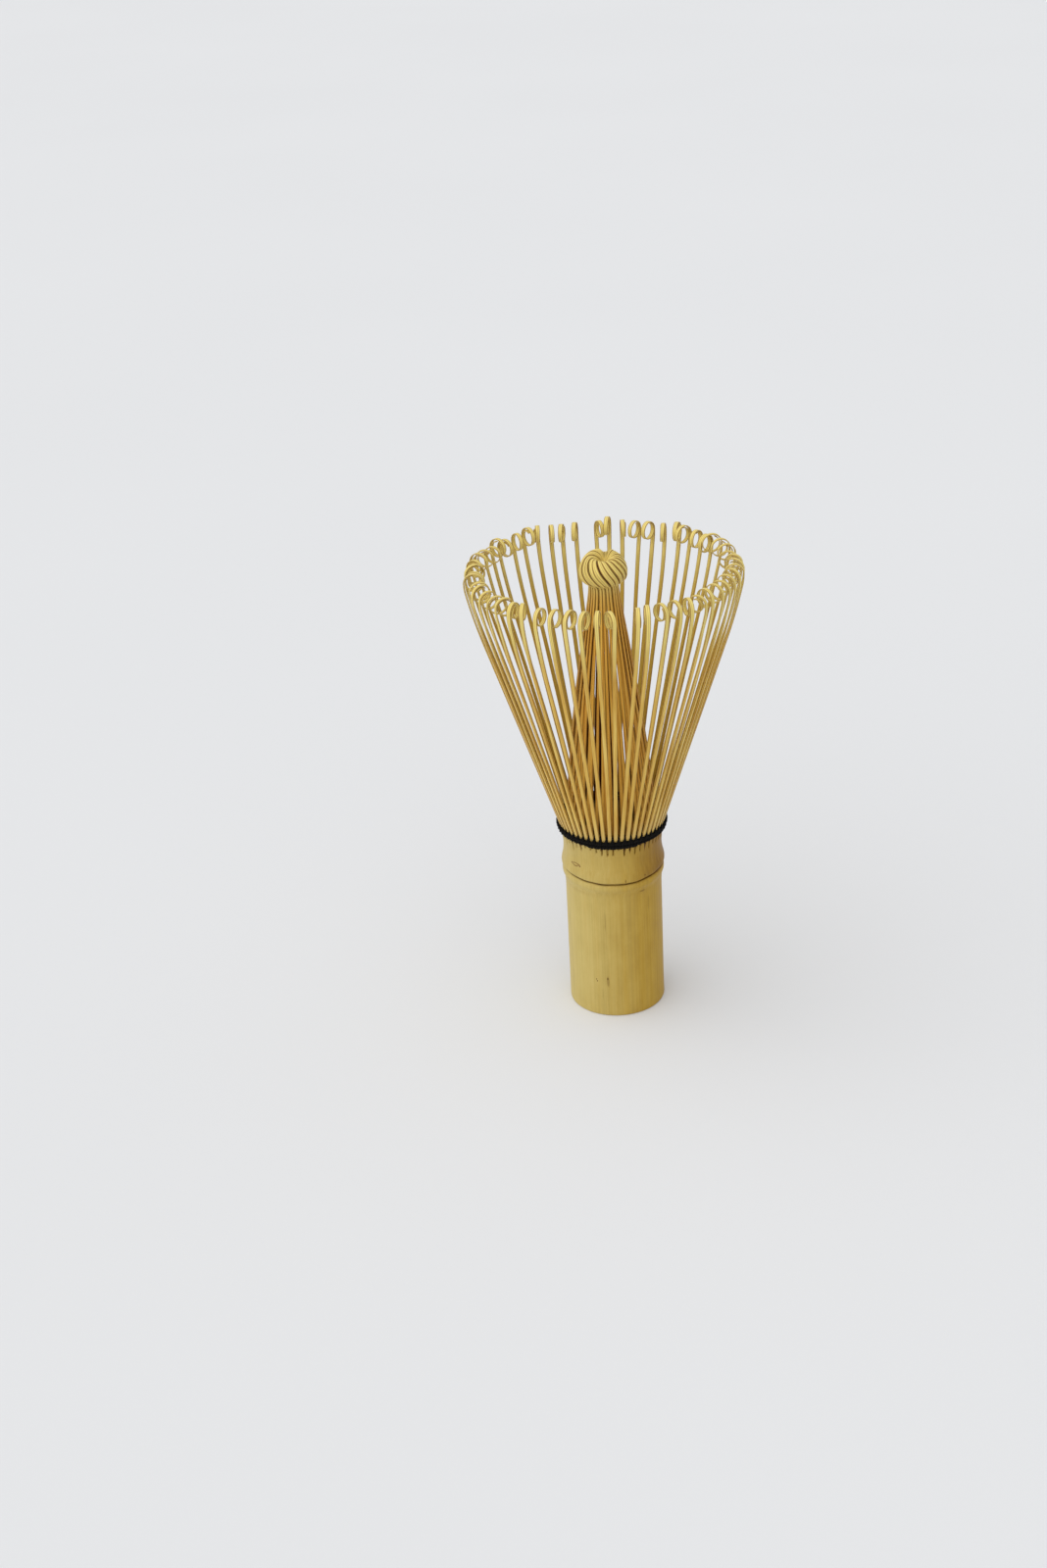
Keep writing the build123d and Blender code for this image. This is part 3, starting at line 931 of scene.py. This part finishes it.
def make_inner_tines():
    material = split_material(
        "inner_tine_bamboo",
        tones=[(0.53, 0.235, 0.022), (0.71, 0.375, 0.050), (0.83, 0.52, 0.10)],
        # Near black sides: painted shade in the gaps between the inner tines
        side=(0.15, 0.030, 0.004),
        # Near black pith face: painted shade inside the cone and the knot
        under=(0.13, 0.028, 0.005),
        pale=(0.70, 0.53, 0.15),
        pale_from=53.0,
        pale_share=0.9,
        # Darker roots: painted shade near the thread
        root=(0.48, 0.23, 0.03),
        root_to=12.0,
    )
    shape_rng = random.Random(SEED + 3)
    bundle = Bundle()
    for i in range(TINE_COUNT):
        add_inner_tine(bundle, i, shape_rng)
    add_knot_shade_core(bundle)
    tines = bundle.make("inner_tines_and_knot", material)
    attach(tines, ROOT_BODY)
    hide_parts("inner_tines", "inner_tip_knot")


# ---------------------------------------------------------------- thread
UPPER_ROW_Z = 49.6
LOWER_ROW_Z = 48.7
ROW_R_OUT = 0.22
# A second lap of thread under the lower row, between these azimuths in degrees
OVERLAP = (-28.0, 27.0)
OVERLAP_DROP = 0.36
INSIDE_ROW_R = 11.95
TOP_ROW_R = 12.45
ROPE_LAY = 1.5
ROPE_STEP = 0.16
PLIES = 2
HOOK_R = 0.25
HOOK_RISE = 0.35
STITCH_R = 0.22
STITCH_COIL = 0.72


def thread_material():
    """Black cotton: matt, with the ply's fibres."""
    s = Shader("black_cotton")
    fuzz = s.noise(s.stretch(s.position(), (5200, 5200, 5200)), 4, 0.7)
    colour = s.ramp(fuzz, (0.35, 0.75), [(0.0022, 0.0018, 0.0015), (0.0075, 0.006, 0.0048)])
    rough = s.span(fuzz, 0.3, 0.7, 0.75, 0.95)
    return s.finish(colour, rough, 0.15, fuzz, 0.05)


def rope(bundle, ring_r, z, ply_r, start=0.0, end=360.0):
    """Twisted thread round the crown between two azimuths in degrees, dipping into each slit."""
    span = math.radians(end - start)
    closed = end - start >= 360
    count = max(24, round(span * ring_r / ROPE_STEP))
    azimuths = math.radians(start) + span * np.arange(count) / (count if closed else count - 1)
    phase = (azimuths - FIRST_AZIMUTH) / PITCH * math.tau
    base = round_axis(ring_r + 0.07 * np.cos(phase), azimuths, z + 0.03 * np.sin(phase))
    out = round_axis(1.0, azimuths, 0.0)
    turns = round(span * ring_r / ROPE_LAY)
    for ply in range(PLIES):
        twist = turns * (azimuths - azimuths[0]) / span * math.tau + ply * math.tau / PLIES
        offset = out * np.cos(twist)[:, None] + UP * np.sin(twist)[:, None]
        bundle.add(*cord(base + offset * ply_r * 0.9, ply_r * 1.06, closed))


def stitch(bundle, ring_r, z):
    """A thread that coils once round the row at every slit, going inside between the tines."""
    count = TINE_COUNT * 14
    azimuths = FIRST_AZIMUTH + math.tau * np.arange(count) / count
    phase = (azimuths - FIRST_AZIMUTH) / PITCH * math.tau - math.pi / 2
    r = ring_r + STITCH_COIL * np.cos(phase) - 0.12
    heights = z + STITCH_COIL * 1.05 * np.sin(phase) + 0.15
    bundle.add(*cord(round_axis(r, azimuths, heights), STITCH_R, True))


def hook(bundle, azimuth, rise):
    """The turn of thread that goes in between two tines, over the rows."""
    outline = [
        (13.3, 49.2),
        (13.3, 49.9),
        (13.1, 50.5 + rise),
        (12.7, 50.9 + rise),
        (12.3, 50.3),
        (12.05, 49.6),
    ]
    r, z = curve_through(outline, 4).T
    points = np.outer(r, radial(azimuth)) + np.outer(z, UP)
    bundle.add(*cord(points, HOOK_R, False, radial(azimuth + math.pi / 2)))


def make_thread():
    bundle = Bundle()
    hook_rng = random.Random(SEED + 4)
    for i in range(TINE_COUNT):
        hook(bundle, FIRST_AZIMUTH + (i + 0.5) * PITCH, hook_rng.uniform(0.0, HOOK_RISE))
    upper = float(flare_r(UPPER_ROW_Z)) + ROW_R_OUT
    lower = float(flare_r(LOWER_ROW_Z)) + ROW_R_OUT
    rope(bundle, upper, UPPER_ROW_Z, 0.25)
    rope(bundle, lower, LOWER_ROW_Z, 0.24)
    rope(bundle, lower - 0.08, LOWER_ROW_Z - OVERLAP_DROP, 0.24, *OVERLAP)
    rope(bundle, INSIDE_ROW_R, UPPER_ROW_Z - 0.2, 0.2)
    rope(bundle, TOP_ROW_R, UPPER_ROW_Z + 0.7, 0.2)
    stitch(bundle, upper - 0.3, UPPER_ROW_Z + 0.1)
    thread = bundle.make("thread", thread_material())
    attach(thread, ROOT_BODY)
    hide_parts("binding_thread")


# ---------------------------------------------------------------- stage
FLOOR_HALF = 6000.0
SUN_AZIMUTH = math.radians(-50)
SUN_ELEVATION = math.radians(58)
SUN_WIDTH = math.radians(95)


def floor_material():
    """Matt pale card with the faintest unevenness."""
    s = Shader("pale_card")
    cloud = s.noise(s.stretch(s.position(), (3, 3, 3)), 2)
    colour = s.ramp(cloud, (0.3, 0.7), [(0.790, 0.800, 0.818), (0.800, 0.810, 0.828)])
    return s.finish(colour, s.span(cloud, 0.3, 0.7, 0.85, 0.9), 0.1)


def make_floor():
    bundle = Bundle()
    corners = np.array([(-1, -1, 0), (1, -1, 0), (1, 1, 0), (-1, 1, 0)]) * FLOOR_HALF
    bundle.add(corners, [[0, 1, 2, 3]], np.zeros((4, 3)))
    floor = bundle.make("floor", floor_material())


def make_lights():
    scene = bpy.context.scene
    world = bpy.data.worlds.new("studio")
    world.use_nodes = True
    background = world.node_tree.nodes["Background"]
    background.inputs["Color"].default_value = (0.97, 0.98, 1.0, 1)
    background.inputs["Strength"].default_value = 0.6
    scene.world = world
    data = bpy.data.lights.new("window", "SUN")
    data.energy = 1.5
    data.angle = SUN_WIDTH
    data.color = (1.0, 0.985, 0.95)
    window = bpy.data.objects.new("window", data)
    towards = Vector(radial(SUN_AZIMUTH).tolist()) * math.cos(SUN_ELEVATION)
    towards.z = math.sin(SUN_ELEVATION)
    window.rotation_mode = "QUATERNION"
    window.rotation_quaternion = towards.to_track_quat("Z", "Y")
    scene.collection.objects.link(window)
    scene.view_settings.view_transform = "Standard"


make_camera()
make_culm()
make_outer_tines()
make_inner_tines()
make_thread()
make_floor()
make_lights()
